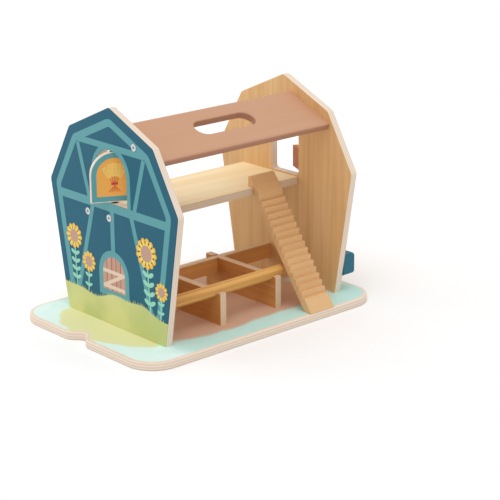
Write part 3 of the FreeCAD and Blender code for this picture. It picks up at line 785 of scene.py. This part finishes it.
# a tied sheaf of grain: places across and up, widths, and heights over the face
sheaf = {
    "stalks": 5, "foot": 11.5, "footSpread": 6.0, "neck": 20.5, "neckSpread": 1.6,
    "spread": 9.5, "height": 40.0, "droop": 4.5, "stalkWidth": 1.3, "neckWidth": 1.1,
    "earFrom": 0.42, "pairs": 5, "kernel": (4.2, 2.3), "kernelRise": 1.05, "kernelThick": 0.16,
    "kernelLevel": 0.02, "layer": 0.008, "neckOver": 0.004, "tieReach": 3.6, "tieWidth": 2.6, "tieOver": 0.09,
}
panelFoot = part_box("window_panel")[0].z
pinLow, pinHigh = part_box("window_pivot_pins")
pivot = Matrix.Translation(((pinLow.x + pinHigh.x) / 2, (pinLow.y + pinHigh.y) / 2, panelFoot))
turned = pivot @ Matrix.Rotation(math.radians(panelPrint["turn"]), 4, "Z")
halfThick = panelPrint["thick"] / 2 * mm
panelFaces = {
    "Outer": turned @ Matrix(((0, 0, -mm, -halfThick), (-mm, 0, 0, 0), (0, mm, 0, 0), (0, 0, 0, 1))),
    "Inner": turned @ Matrix(((0, 0, mm, halfThick), (mm, 0, 0, 0), (0, mm, 0, 0), (0, 0, 0, 1))),
}
groundPaint = plainMaterial("panelGround", "panelGround")
stalkPaint = plainMaterial("sheafStalks", "sheafStalk")
grainPaint = plainMaterial("sheafGrain", "sheafGrain")
tiePaint = plainMaterial("sheafTie", "sheafTie")
panelArch = (panelPrint["half"], 0, panelPrint["top"])
borderOuter = archInside(panelArch, panelPrint["inset"])
borderInner = archInside(panelArch, panelPrint["inset"] + panelPrint["border"])
groundLoop = archInside(panelArch, panelPrint["inset"] + panelPrint["border"] - panelPrint["tuck"])


def onPanel(name, loops, high, material, label):
    name = "panel" + name + label
    mesh = printedSheet(name, loops, panelPrint["sunk"], high, panelFaces[label])
    return addPiece(name, mesh, material, "window_panel")


def addStalk(count, label):
    lean = 2 * count / (sheaf["stalks"] - 1) - 1  # from -1 on the left to 1 on the right
    root = Vector((-lean * sheaf["footSpread"], sheaf["foot"]))
    neck = Vector((lean * sheaf["neckSpread"], sheaf["neck"]))
    tip = Vector((lean * sheaf["spread"], sheaf["height"] - sheaf["droop"] * lean * lean))
    level = panelPrint["over"] + sheaf["layer"] * count
    onPanel(f"Stalk{count}", [bandLoop(root, neck, sheaf["stalkWidth"])], level, stalkPaint, label)
    upper = bandLoop(neck, tip, sheaf["neckWidth"])
    onPanel(f"Neck{count}", [upper], level + sheaf["neckOver"], stalkPaint, label)
    start = neck.lerp(tip, sheaf["earFrom"])
    ear = tip - start
    length, width = sheaf["kernel"]
    kernels = {
        "stemFoot": (0, 0, 0), "stemTop": (0, ear.length, 0), "pairCount": sheaf["pairs"],
        "leafLength": length, "leafWidth": width, "leafThick": sheaf["kernelThick"] + sheaf["layer"] * count,
        "leafRise": sheaf["kernelRise"], "leafPaint": grainPaint,
    }
    upright = Matrix.Rotation(math.atan2(-ear.x, ear.y), 4, "Z")
    place = panelFaces[label] @ Matrix.Translation((*start, sheaf["kernelLevel"])) @ upright
    mesh = runTree("ear", leafTree, kernels, place)
    addPiece(f"panelEar{count}{label}", mesh, grainPaint, "window_panel")


tieLoop = crossBand(sheaf["neck"], sheaf["tieReach"], sheaf["tieWidth"])
for label in panelFaces:
    onPanel("Border", [borderOuter, borderInner], panelPrint["ring"], framePaint, label)
    onPanel("Ground", [groundLoop], panelPrint["ground"], groundPaint, label)
    for count in range(sheaf["stalks"]):
        addStalk(count, label)
    onPanel("Tie", [tieLoop], panelPrint["over"] + sheaf["tieOver"], tiePaint, label)
print("panel printed on both faces")

# floor and light, in metres
studio = {
    "floor": 6.0, "floorBounce": 0.80, "world": 0.76,
    "sun": 0.9, "sunSoft": 50.0, "sunFrom": (-0.3, -0.25, 0.9),
    "fill": 1.6, "fillSize": 0.7, "fillFrom": (-0.40, 0.80, 0.42), "fillAim": (0.1, 0, 0.1),
}


def seenRays(tree):  # rays of the eye, of mirrors and through glass
    rays = addNode(tree, "ShaderNodeLightPath").outputs
    glossy = calc(tree, "MAXIMUM", rays["Is Camera Ray"], rays["Is Glossy Ray"])
    return calc(tree, "MAXIMUM", glossy, rays["Is Transmission Ray"])


def facingFrom(direction):  # turns a lamp to shine from that direction
    return Vector(direction).to_track_quat("Z", "Y").to_euler()


def makeFloor():
    half = studio["floor"]
    mesh = bpy.data.meshes.new("studioFloor")
    corners = [(-half, -half, 0), (half, -half, 0), (half, half, 0), (-half, half, 0)]
    mesh.from_pydata(corners, [], [(0, 1, 2, 3)])
    floor = bpy.data.objects.new("studioFloor", mesh)
    scene.collection.objects.link(floor)
    material, tree, shader = newMaterial("paleFloor", "floor")
    shader.inputs["Specular IOR Level"].default_value = 0.0
    grey = (*[studio["floorBounce"]] * 3, 1)
    tree.links.new(mixColour(tree, seenRays(tree), grey, (1, 1, 1, 1)), shader.inputs["Base Color"])
    mesh.materials.append(material)


def makeLight():
    world = bpy.data.worlds.new("studio")
    world.use_nodes = True
    tree = world.node_tree
    sky = tree.nodes["Background"]
    sky.inputs["Color"].default_value = (1, 1, 1, 1)
    levels = {0: seenRays(tree), 2: studio["world"], 3: 1.0}
    tree.links.new(addNode(tree, "ShaderNodeMix", levels).outputs[0], sky.inputs["Strength"])
    scene.world = world
    lamp = bpy.data.lights.new("softSun", "SUN")
    lamp.energy = studio["sun"]
    lamp.angle = math.radians(studio["sunSoft"])
    sun = bpy.data.objects.new("softSun", lamp)
    sun.rotation_euler = facingFrom(studio["sunFrom"])
    scene.collection.objects.link(sun)
    lamp = bpy.data.lights.new("backFill", "AREA")
    lamp.energy = studio["fill"]
    lamp.size = studio["fillSize"]
    fill = bpy.data.objects.new("backFill", lamp)
    fill.location = studio["fillFrom"]
    fill.rotation_euler = facingFrom(fill.location - Vector(studio["fillAim"]))
    scene.collection.objects.link(fill)


# camera at the photo's angle, in metres and degrees
cameraView = {
    "place": (-1.10348, -1.32116, 0.62753), "azimuth": -41.761, "elevation": 17.954, "roll": -0.469,
    "angle": 17.768, "farthest": 50,
}


def makeCamera():
    az, el, roll = (math.radians(cameraView[key]) for key in ("azimuth", "elevation", "roll"))
    back = Vector((math.sin(az) * math.cos(el), -math.cos(az) * math.cos(el), math.sin(el)))
    level = (-back).cross(Vector((0, 0, 1))).normalized()
    above = level.cross(-back)
    right = level * math.cos(roll) + above * math.sin(roll)
    up = above * math.cos(roll) - level * math.sin(roll)
    data = bpy.data.cameras.new("photoCamera")
    data.angle = math.radians(cameraView["angle"])
    data.clip_end = cameraView["farthest"]
    camera = bpy.data.objects.new("photoCamera", data)
    turn = Matrix((right, up, back)).transposed().to_4x4()
    camera.matrix_world = Matrix.Translation(cameraView["place"]) @ turn
    scene.collection.objects.link(camera)
    scene.camera = camera


makeFloor()
makeLight()
makeCamera()
scene.view_settings.view_transform = "Standard"
print("studio ready")
